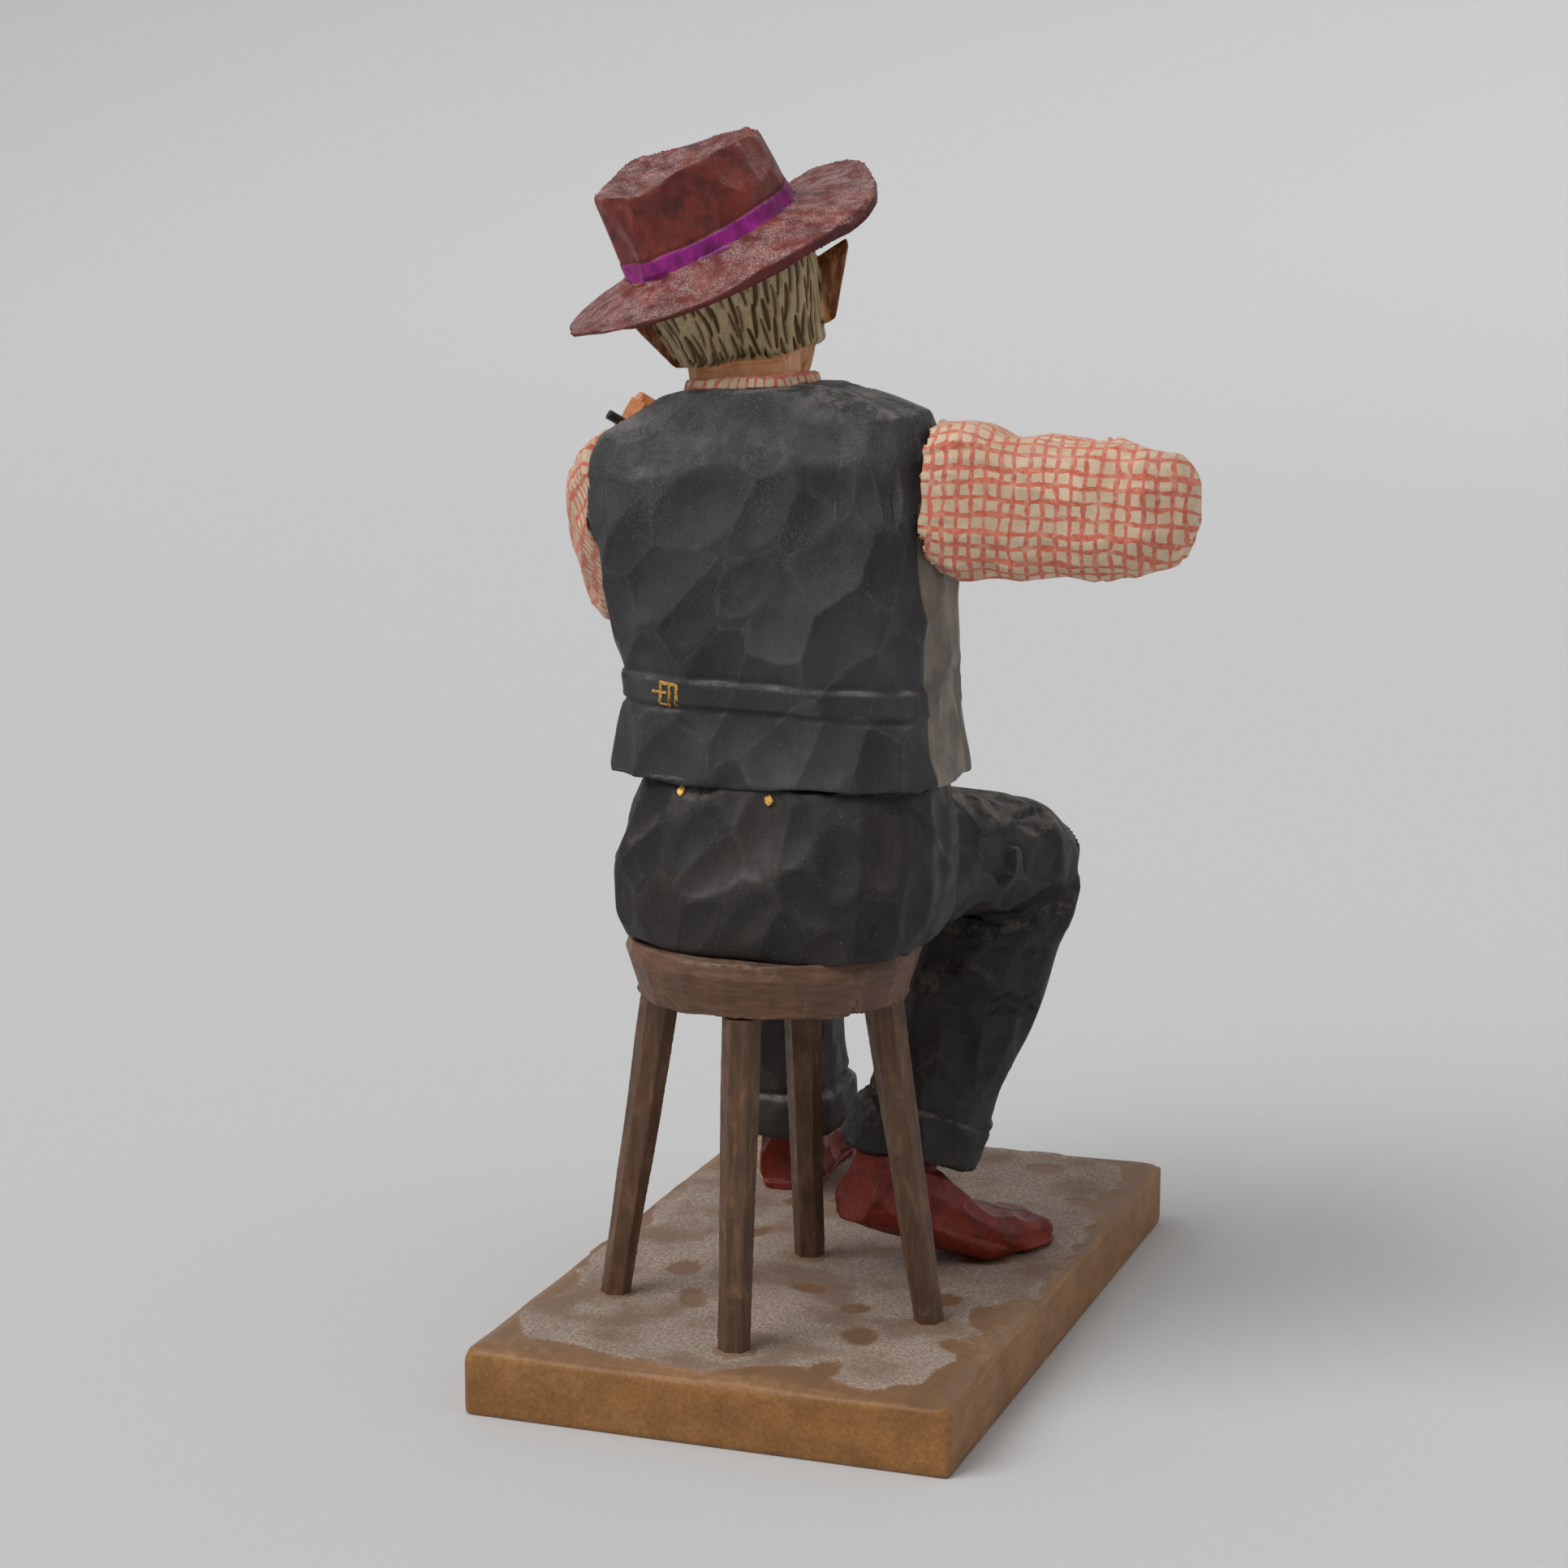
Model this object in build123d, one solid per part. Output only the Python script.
from build123d import *
from math import cos, sin, pi, radians
import os

# A carved and painted wooden fiddler on a four-legged stool, on a rectangular board.
# Millimetres. Origin: centre of the board's underside. +Z up. The figure faces -Y and its left is +X.

# board
BOARD_X, BOARD_Y, BOARD_Z = 140.0, 234.0, 20.0
BOARD_EASE = 0.8

# stool
STOOL_X, STOOL_Y = 0.5, 58.0
SEAT_UNDER, SEAT_TOP = 114.0, 130.0
SEAT_R_UNDER, SEAT_R_RIM, SEAT_R_TOP = 38.5, 42.3, 41.0
SEAT_BEVEL = 4.0
SEAT_SIDES = 20
LEG_TOP_R, LEG_FOOT_R, LEG_SIDES = 5.9, 4.5, 6
LEG_TENON_R, LEG_TENON = 3.0, 9.0
LEG_TOP_SPREAD = 32.0
LEG_FEET = {"left": (46.5, 64.5), "right": (-46.0, 57.5), "rear": (-2.4, 98.0), "front": (4.9, 13.5)}

# hidden dowels
DOWEL_R = 3.0
SHOE_DOWEL_R = 2.5

# clothed body
SIDES = 16
HEM_Z = 176.0
CUFF_STEP = 0.8
SHOULDER_LEAN = 4.5

# head and hat
HEAD_CENTRE = Vector(14.2, 43.4, 300.5)
HEAD_YAW = 19.6
HEAD_ROLL = 17.0
HAT_CENTRE = Vector(22.5, 45.5, 316.5)
HAT_ROLL = 27.5
HAT_TIP_BACK = 6.0

# fiddle, in its own frame: x from tail to scroll, z out of the top
FIDDLE_TAIL = Vector(27, 11, 252.5)
FIDDLE_ALONG = Vector(0.605, -0.795, 0.05).normalized()
FIDDLE_UP_HINT = Vector(-0.432, -0.275, 0.859)
FIDDLE_BODY, FIDDLE_RIBS = 68.0, 10.0
NECK_END, PEGBOX_END = 96.0, 112.0
BRIDGE_X, BRIDGE_TOP = 34.0, 6.6
BOARD_START, NUT_TOP = 50.0, 3.2
STRING_R = 0.25
PEG_R, PEG_HEIGHT = 1.5, -3.5
BOW_CROSSES_X, BOW_GAP = 42.0, 0.75
BOW_HAND = Vector(-70, -33, 237)

os.makedirs("parts", exist_ok=True)
nodes = {}


def one(shape):
    """The largest solid of a shape."""
    return max(shape.solids(), key=lambda solid: solid.volume)


def outline(half_x, half_y, sides=SIDES, squareness=2.6):
    """Points of a rounded rectangle with whittled flats."""
    points = []
    for i in range(sides):
        a = 2 * pi * (i + 0.5) / sides
        c, s = cos(a), sin(a)
        x = half_x * abs(c) ** (2 / squareness) * (1 if c > 0 else -1)
        y = half_y * abs(s) ** (2 / squareness) * (1 if s > 0 else -1)
        points.append((x, y))
    return points


def carved(stations, across=(1, 0, 0), sides=SIDES, squareness=2.6):
    """Flat-planed block through stations of (centre, direction, half width, half depth)."""
    faces = []
    for centre, direction, half_x, half_y in stations:
        plane = Plane(origin=centre, x_dir=across, z_dir=direction)
        faces.append(plane * Polygon(*outline(half_x, half_y, sides, squareness), align=None))
    return one(loft(faces, ruled=True))


def rod(start, end, radius):
    """Round rod between two points."""
    start, end = Vector(*start), Vector(*end)
    return Solid.make_cylinder(radius, (end - start).length, Plane(origin=start, z_dir=end - start))


def frame_of(centre, yaw, roll, tip_back=0):
    """Frame facing -Y, turned to its left by yaw, leaned to its left by roll, tipped back."""
    turned = Plane(origin=centre) * Rot(0, 0, yaw) * Rot(0, roll, 0) * Rot(-tip_back, 0, 0)
    return turned


# ---------------------------------------------------------------- stool and board
def make_legs():
    for name, (foot_x, foot_y) in LEG_FEET.items():
        reach = Vector(foot_x - STOOL_X, foot_y - STOOL_Y, 0).normalized() * LEG_TOP_SPREAD
        top = Vector(STOOL_X + reach.X, STOOL_Y + reach.Y, SEAT_UNDER)
        foot = Vector(foot_x, foot_y, BOARD_Z)
        flats = []
        for centre, radius in ((foot, LEG_FOOT_R), (top, LEG_TOP_R)):
            flats.append(Pos(*centre) * RegularPolygon(radius, LEG_SIDES, rotation=15))
        shaft = one(loft(flats, ruled=True))
        along = (top - foot).normalized()
        upper = rod(top - along * 2, top + along * LEG_TENON, LEG_TENON_R)
        lower = rod(foot + along * 2, foot - along * LEG_TENON, LEG_TENON_R)
        nodes["stool_leg_" + name] = one(shaft + upper + lower)


def make_seat():
    rings = ((SEAT_UNDER, SEAT_R_UNDER), (SEAT_TOP - SEAT_BEVEL, SEAT_R_RIM), (SEAT_TOP, SEAT_R_TOP))
    faces = [Pos(STOOL_X, STOOL_Y, z) * RegularPolygon(r, SEAT_SIDES) for z, r in rings]
    seat = one(loft(faces, ruled=True))
    for name in LEG_FEET:
        seat = one(seat - nodes["stool_leg_" + name])
    nodes["stool_seat"] = seat


def make_board():
    board = Pos(0, 0, BOARD_Z / 2) * Box(BOARD_X, BOARD_Y, BOARD_Z)
    board = chamfer(board.edges(), BOARD_EASE)
    for name in LEG_FEET:
        board = one(board - nodes["stool_leg_" + name])
    nodes["base_board"] = one(board)


# ---------------------------------------------------------------- clothed body
def make_trousers():
    up = (0, 0, 1)
    hips = carved([
        (Vector(-3.0, 60, SEAT_TOP), up, 41.0, 33.0),
        (Vector(-3.0, 59, 138), up, 45.5, 35.5),
        (Vector(-3.0, 57.5, 150), up, 47.0, 35.0),
        (Vector(-4.5, 56, 165), up, 44.5, 32.0),
        (Vector(-5.0, 54, HEM_Z), up, 41.0, 29.5),
    ], squareness=3.0)
    right_thigh = carved([
        (Vector(-20, 46, 149.5), (-0.38, -0.9, -0.02), 23, 20),
        (Vector(-34, 8, 146), (-0.38, -0.9, -0.05), 20, 18.5),
        (Vector(-45, -20, 139), (-0.36, -0.88, -0.25), 18.5, 18),
        (Vector(-51, -34, 134), (-0.36, -0.80, -0.45), 14.5, 14),
    ])
    left_thigh = carved([
        (Vector(16, 46, 152), (0.2, -0.98, -0.02), 23, 21),
        (Vector(25, 8, 149), (0.2, -0.98, -0.05), 20, 19),
        (Vector(32, -32, 142), (0.18, -0.95, -0.25), 19, 18),
        (Vector(35, -48, 137), (0.18, -0.88, -0.45), 15, 14),
    ])
    seat_plane = Pos(0, 0, SEAT_TOP - 40) * Box(260, 260, 80)
    body = hips + right_thigh + left_thigh
    over_seat = Pos(STOOL_X, STOOL_Y, SEAT_TOP - 20) * Cylinder(SEAT_R_RIM + 3, 40)
    nodes["trousers"] = one(body - (seat_plane & over_seat))


def make_trouser_leg(side, knee, shin, cuff_top, cuff_bottom, half_width, cuff_proud, calf_turn):
    """Lower leg with a turned-up cuff that stands proud."""
    down = (cuff_bottom - knee).normalized()
    flatter = (down.X * 0.5, down.Y * 0.5, down.Z)
    turn = (cos(radians(calf_turn)), sin(radians(calf_turn)), 0)
    leg = carved([
        (knee, (down.X * 0.4, -0.5, down.Z), half_width, half_width - 1),
        (shin, down, half_width, half_width - 1),
        (cuff_top, flatter, half_width + cuff_proud - 2, half_width),
        (cuff_top - Vector(0, 0, CUFF_STEP), flatter, half_width + cuff_proud, half_width + 2),
        (cuff_bottom, flatter, half_width + cuff_proud, half_width + 2),
    ], across=turn)
    nodes[side + "_trouser_leg"] = one(leg - nodes["trousers"])


def make_shoe(side, heel, ball, toe, ankle):
    """Shoe standing on its ball and toe, its heel up or down, its upper rising into the cuff."""
    across = Vector(0, 0, 1).cross(Vector(toe.X - heel.X, toe.Y - heel.Y, 0).normalized())
    back, front = (ball - heel).normalized(), (toe - ball).normalized()
    middle = (back + front).normalized()
    rows = (
        (heel, back, 9.0, 19), (heel + back * 5, back, 11.0, 23), (heel + back * 24, back, 11.5, 22),
        (ball, middle, 13.0, 16.5), (ball + (toe - ball) * 0.5, front, 13.5, 12.5),
        (ball + (toe - ball) * 0.85, front, 11.0, 10.5), (toe, front, 6.5, 8),
    )
    faces = []
    for sole, along, half, height in rows:
        up = along.cross(across)
        up = up if up.Z > 0 else up * -1
        plane = Plane(origin=sole + up * (height / 2), x_dir=across, z_dir=along)
        faces.append(plane * Polygon(*outline(half, height / 2, 12, 3.2), align=None))
    body = one(loft(faces, ruled=True))
    shaft = carved([
        (heel + back * 15 + Vector(0, 0, 8), (0, 0, 1), 10.5, 12),
        (ankle, (0, 0, 1), 11.5, 12.5),
    ], across=across, sides=12)
    below_board = Pos(0, 0, BOARD_Z - 30) * Box(BOARD_X, BOARD_Y, 60)
    shoe = body + shaft - below_board
    nodes[side + "_shoe"] = one(shoe - nodes[side + "_trouser_leg"])


def make_vest():
    lean = radians(SHOULDER_LEAN)
    rows = (
        (-3.0, 54.0, HEM_Z, 49.0, 32.0, 0.0),
        (-3.8, 54.0, 199, 45.6, 30.5, 0.0),
        (-0.9, 54.5, 224, 47.7, 31.0, 0.3),
        (2.1, 55.0, 247, 51.0, 31.0, 0.7),
        (1.8, 56.0, 262, 50.5, 28.0, 1.0),
        (0.5, 57.0, 273, 44.5, 22.0, 1.0),
        (6.0, 57.0, 281.5, 23.0, 18.5, 1.0),
    )
    stations = []
    for x, y, z, half_x, half_y, share in rows:
        tilt = lean * share
        stations.append((Vector(x, y, z), (sin(tilt), 0, cos(tilt)), half_x, half_y))
    nodes["vest"] = carved(stations, squareness=3.4)


def make_collar():
    collar = carved([
        (Vector(7.0, 56, 275), (0.05, 0, 1), 20, 18.5),
        (Vector(8.5, 54, 284), (0.1, -0.05, 1), 17.5, 17),
    ], sides=12)
    nodes["shirt_collar"] = one(collar - nodes["vest"])


# ---------------------------------------------------------------- arms
def limb(stations, across=(0, 0, 1)):
    return carved([(Vector(*c), d, a, b) for c, d, a, b in stations], across=across, sides=12)


def make_arms():
    right_upper = limb([
        ((-38, 57, 253), (-1, -0.1, 0), 19.0, 17.0),
        ((-52, 56, 252.8), (-1, -0.1, 0), 21.5, 19.0),
        ((-80, 52, 251.2), (-1, -0.15, 0), 18.6, 18.0),
        ((-99, 47, 251), (-1, -0.2, 0), 18.4, 17.5),
        ((-109, 43, 251.5), (-1, -0.3, 0), 14.0, 13.5),
        ((-114, 41.5, 252), (-1, -0.3, 0), 7.5, 7.5),
    ])
    right_fore = limb([
        ((-99, 40, 250), (0.33, -0.925, -0.12), 15.5, 14.5),
        ((-88, 10, 246), (0.33, -0.925, -0.12), 14.0, 13.0),
        ((-78, -16, 242), (0.33, -0.925, -0.12), 11.5, 11.0),
    ])
    left_upper = limb([
        ((36, 66, 257), (0.5, -0.75, -0.35), 16.5, 16.0),
        ((46, 49, 248), (0.5, -0.75, -0.45), 18.5, 18.0),
        ((58, 20, 234), (0.35, -0.8, -0.5), 17.5, 17.5),
        ((66, -2, 220), (0.1, -0.8, -0.5), 15.5, 15.0),
        ((68, -13, 211), (0.1, -0.7, -0.7), 8.5, 8.5),
    ], across=(0.3, 0, 1))
    left_fore = limb([
        ((67, -4, 221), (0.1, -0.8, 0.55), 14.5, 13.5),
        ((70.5, -24, 232), (0.1, -0.84, 0.52), 13.0, 12.0),
        ((74, -42, 243.5), (0.1, -0.84, 0.52), 10.5, 10.0),
    ])
    nodes["right_upper_sleeve"] = one(right_upper - nodes["vest"])
    nodes["right_lower_sleeve"] = one(right_fore - nodes["right_upper_sleeve"])
    nodes["left_upper_sleeve"] = one(left_upper - nodes["vest"])
    nodes["left_lower_sleeve"] = one(left_fore - nodes["left_upper_sleeve"])


# ---------------------------------------------------------------- head and hat
def make_head():
    frame = frame_of(HEAD_CENTRE, HEAD_YAW, HEAD_ROLL)
    faces = []
    for y, z, half_x, half_y in ((-13, -25, 8, 6.5), (-9, -20, 13, 12), (-4, -11, 17, 18.5),
                                 (0, 0, 19.5, 22.5), (1, 9, 20.5, 23.5), (1, 15, 20.5, 23.5)):
        faces.append(frame * Pos(0, y, z) * Polygon(*outline(half_x, half_y), align=None))
    skull = one(loft(faces, ruled=True))
    nose = frame * Pos(0, -23.5, 0) * loft([
        Pos(0, 0, -7) * Polygon((-3.6, 2.5), (3.6, 2.5), (2.0, -5.5), (-2.0, -5.5), align=None),
        Pos(0, 0, 4) * Polygon((-2.0, 2.5), (2.0, 2.5), (1.2, -0.6), (-1.2, -0.6), align=None),
    ], ruled=True)
    ears = []
    for side in (1, -1):
        ear = loft([
            Pos(side * 18.5, 1, -1) * Rot(0, 90, 0) * Polygon(*outline(8.5, 4.5, 10, 2.4), align=None),
            Pos(side * 27, 5, 2) * Rot(0, 90, 0) * Polygon(*outline(10.5, 2.2, 10, 2.4), align=None),
        ], ruled=True)
        ears.append(frame * ear)
    neck = carved([
        (Vector(8, 57, 268), (0.1, -0.1, 1), 15, 14),
        (Vector(12, 50, 292), (0.2, -0.2, 1), 15.5, 15),
    ], sides=12)
    head = skull + nose + ears[0] + ears[1] + neck
    nodes["head"] = one(head - nodes["vest"])
    nodes["shirt_collar"] = one(nodes["shirt_collar"] - nodes["head"])


def make_hat():
    frame = frame_of(HAT_CENTRE, HEAD_YAW, HAT_ROLL, HAT_TIP_BACK)

    def tiers(rows):
        return one(loft([frame * Pos(0, 0, z) * Polygon(*outline(a, b, SIDES, 2.2), align=None)
                         for z, a, b in rows], ruled=True))

    brim = tiers(((-3, 45.5, 43.5), (-0.5, 46.5, 44.5), (5.5, 25.5, 29.5)))
    under = tiers(((-3.5, 45.0, 43.0), (2.0, 25.0, 28.0)))
    crown = tiers(((2.0, 25.5, 29.5), (6.0, 24.8, 29.2), (25.0, 23.6, 26.8), (27.3, 21.6, 24.5)))
    dent = frame * Pos(0, 0, 27.8) * loft([
        Pos(0, 0, -4.5) * Rectangle(7, 26),
        Pos(0, 0, 2) * Rectangle(18, 44),
    ], ruled=True)
    hat = brim - under + crown - dent
    nodes["hat"] = one(hat - nodes["head"])


# ---------------------------------------------------------------- fiddle and bow
def fiddle_frame():
    across = FIDDLE_UP_HINT.cross(FIDDLE_ALONG).normalized()
    return Plane(origin=FIDDLE_TAIL, x_dir=FIDDLE_ALONG, z_dir=FIDDLE_ALONG.cross(across))


def make_fiddle():
    frame = fiddle_frame()
    half_outline = ((0, 0), (3, 13), (14, 20.5), (25, 18), (34, 12.5), (42, 12), (50, 16), (60, 15),
                    (FIDDLE_BODY, 3.5))
    other_half = [(x, -y) for x, y in reversed(half_outline[1:])]
    plate = Pos(0, 0, -FIDDLE_RIBS) * Polygon(*half_outline, *other_half, align=None)
    body = extrude(plate, FIDDLE_RIBS, dir=(0, 0, 1))
    nodes["fiddle_body"] = one(frame * body)

    neck = loft([
        Plane(origin=(FIDDLE_BODY - 3, 0, -4), z_dir=(1, 0, 0), x_dir=(0, 1, 0)) * Rectangle(7.4, 8),
        Plane(origin=(NECK_END, 0, -3), z_dir=(1, 0, 0), x_dir=(0, 1, 0)) * Rectangle(6.4, 6),
    ], ruled=True)
    pegbox = Pos((NECK_END + PEGBOX_END) / 2, 0, -1) * Box(PEGBOX_END - NECK_END, 13, 13)
    slot = Pos((NECK_END + PEGBOX_END) / 2 + 0.5, 0, 1.5) * Box(PEGBOX_END - NECK_END - 3, 4, 12)
    scroll = Pos(PEGBOX_END + 1, 0, 3.5) * Rot(90, 0, 0) * Cylinder(5.0, 8)
    neck_piece = frame * (neck + pegbox - slot + scroll)
    nodes["fiddle_neck"] = one(neck_piece - nodes["fiddle_body"])

    fingerboard = loft([
        Plane(origin=(BOARD_START, 0, 1.4), z_dir=(1, 0, 0), x_dir=(0, 1, 0)) * Rectangle(8.4, 2.8),
        Plane(origin=(NECK_END, 0, 1.4), z_dir=(1, 0, 0), x_dir=(0, 1, 0)) * Rectangle(6.4, 2.8),
    ], ruled=True)
    nodes["fiddle_fingerboard"] = one(one(frame * fingerboard) - nodes["fiddle_neck"])

    tail = Polygon((3, 2.2), (3, -2.2), (24, -4.2), (24, 4.2), align=None)
    nodes["fiddle_tailpiece"] = one(frame * extrude(tail, 2.4))

    feet = Polygon((-6, 0), (-2.5, 0), (-1.5, 1.6), (1.5, 1.6), (2.5, 0), (6, 0), (4.8, BRIDGE_TOP),
                   (-4.8, BRIDGE_TOP), align=None)
    upright = Plane(origin=(BRIDGE_X - 0.7, 0, 0), x_dir=(0, 1, 0), z_dir=(1, 0, 0))
    nodes["fiddle_bridge"] = one(frame * extrude(upright * feet, 1.4))

    pegs = []
    for x, side in ((NECK_END + 4.5, 1), (NECK_END + 11.0, -1)):
        shank = Pos(x, side * 4.25, PEG_HEIGHT) * Rot(90, 0, 0) * Cylinder(PEG_R, 4.5)
        grip = Pos(x, side * 10.0, PEG_HEIGHT) * Rot(90, 0, 0) * Cylinder(PEG_R, 7)
        pegs.append(frame * (shank + grip))
    nodes["tuning_pegs"] = Compound(children=[one(peg) for peg in pegs])
    nodes["fiddle_neck"] = one(nodes["fiddle_neck"] - pegs[0] - pegs[1])

    strings = []
    for place in (-1.5, -0.5, 0.5, 1.5):
        stages = ((24.0, place * 1.5, 1.2), (BRIDGE_X, place * 2.2, BRIDGE_TOP + STRING_R),
                  (NECK_END + 0.8, place * 0.95, NUT_TOP + STRING_R))
        points = [Vector(*(frame.from_local_coords(Vector(*stage)))) for stage in stages]
        string = rod(points[0], points[1], STRING_R) + rod(points[1], points[2], STRING_R)
        string = string + Pos(*points[1]) * Sphere(STRING_R)
        string = string - nodes["fiddle_bridge"] - nodes["fiddle_tailpiece"] - nodes["fiddle_neck"]
        strings.append(one(string))
    nodes["fiddle_strings"] = Compound(children=strings)


def make_bow():
    frame = fiddle_frame()
    crossing = frame.from_local_coords(Vector(BOW_CROSSES_X, 0, BRIDGE_TOP + BOW_GAP))
    toward_tip = (crossing - BOW_HAND).normalized()
    reach = (crossing - BOW_HAND).length
    over = frame.z_dir - toward_tip * frame.z_dir.dot(toward_tip)
    bow = Plane(origin=BOW_HAND, x_dir=toward_tip, z_dir=over)
    tip = reach + 9
    stick = loft([
        Plane(origin=(-12, 0, 9), z_dir=(1, 0, 0), x_dir=(0, 1, 0)) * RegularPolygon(2.0, 8),
        Plane(origin=(tip - 2, 0, 7), z_dir=(1, 0, 0), x_dir=(0, 1, 0)) * RegularPolygon(1.5, 8),
    ], ruled=True)
    head = Pos(tip - 1, 0, 3.9) * Box(4, 3.2, 7.8)
    nodes["bow_stick"] = one(bow * (stick + head))
    frog = Pos(2, 0, 3.9) * Box(12, 4.4, 7.4)
    nodes["bow_frog"] = one(one(bow * frog) - nodes["bow_stick"])
    hair = Pos(tip / 2 + 2.5, 0, 0.7) * Box(tip - 11, 3.2, 0.7)
    nodes["bow_hair"] = one(one(bow * hair) - nodes["bow_stick"] - nodes["bow_frog"])


def make_hands():
    right = limb([
        ((-80, -11, 241.5), (0.33, -0.925, -0.12), 8.0, 7.0),
        ((-77, -22, 240.5), (0.33, -0.925, -0.05), 10.0, 8.0),
        ((-72, -35, 240), (0.40, -0.9, 0.0), 11.0, 8.5),
        ((-69, -43, 238.5), (0.40, -0.9, 0.0), 8.0, 6.5),
    ])
    for held in ("bow_stick", "bow_frog", "bow_hair", "right_lower_sleeve"):
        right = one(right - nodes[held])
    nodes["right_hand"] = right
    left = limb([
        ((73.5, -39, 242), (0.1, -0.84, 0.52), 7.5, 7.0),
        ((75, -46, 247.5), (0.1, -0.84, 0.52), 10.0, 9.5),
        ((77, -54, 253.5), (0.1, -0.84, 0.52), 11.0, 11.0),
        ((78, -60, 258.5), (0.1, -0.84, 0.52), 8.0, 9.5),
    ])
    sleeve = nodes["left_lower_sleeve"] - nodes["fiddle_neck"] - nodes["fiddle_body"]
    nodes["left_lower_sleeve"] = one(sleeve)
    for held in ("fiddle_neck", "fiddle_fingerboard", "fiddle_body", "left_lower_sleeve", "tuning_pegs"):
        left = one(left - nodes[held])
    open_top = fiddle_frame() * Pos(80, 0, 12 + NUT_TOP - 0.6) * Box(60, 7.4, 24)
    nodes["left_hand"] = one(left - open_top)


# ---------------------------------------------------------------- hidden dowels
def pin(name, rods, into):
    """Glued dowels: each fills its own hole in the pieces that it joins."""
    for piece in into:
        for one_rod in rods:
            nodes[piece] = one(nodes[piece] - one_rod)
    nodes[name] = Compound(children=rods) if len(rods) > 1 else rods[0]


def make_dowels():
    pin("seat_dowel", [rod((0, 58, 118), (0, 58, 146), 4)], ["stool_seat", "trousers"])
    pin("neck_dowel", [rod((8, 56, 256), (12.5, 49, 297), DOWEL_R)], ["vest", "head"])
    pin("shoulder_dowels", [
        rod((-30, 57, 253), (-70, 54, 252), DOWEL_R),
        rod((28, 66, 255), (51, 40, 244.5), DOWEL_R),
    ], ["vest", "right_upper_sleeve", "left_upper_sleeve"])
    pin("shoe_dowels", [
        rod((-40, -9, 8), (-40, -9, 28), SHOE_DOWEL_R),
        rod((34, -85, 8), (34, -85, 27), SHOE_DOWEL_R),
    ], ["base_board", "right_shoe", "left_shoe"])
    hat_axis = frame_of(HAT_CENTRE, HEAD_YAW, HAT_ROLL, HAT_TIP_BACK)
    low = (hat_axis * Pos(0, 0, -10)).position
    high = (hat_axis * Pos(0, 0, 16)).position
    pin("hat_dowel", [rod(low, high, DOWEL_R)], ["head", "hat"])


make_legs()
make_seat()
make_board()
make_trousers()
make_trouser_leg("right", Vector(-48, -24, 132), Vector(-37, -12, 96), Vector(-26, -1, 66),
                 Vector(-22.3, 3, 53), 18.0, 2.6, 25)
make_trouser_leg("left", Vector(35, -38, 134), Vector(36.5, -45, 92), Vector(34, -50, 56),
                 Vector(33.5, -51, 43), 18.7, 1.6, 0)
make_shoe("right", Vector(-12, 30, 38.5), Vector(-37, -4, BOARD_Z), Vector(-54, -28, BOARD_Z),
          Vector(-21, 8, 58))
make_shoe("left", Vector(32, -45, BOARD_Z), Vector(36, -84, BOARD_Z), Vector(39, -112, BOARD_Z),
          Vector(35, -55, 49))
make_vest()
make_collar()
make_arms()
make_head()
make_hat()
make_fiddle()
make_bow()
make_hands()
make_dowels()

for node, shape in nodes.items():
    export_step(shape, f"parts/{node}.step")
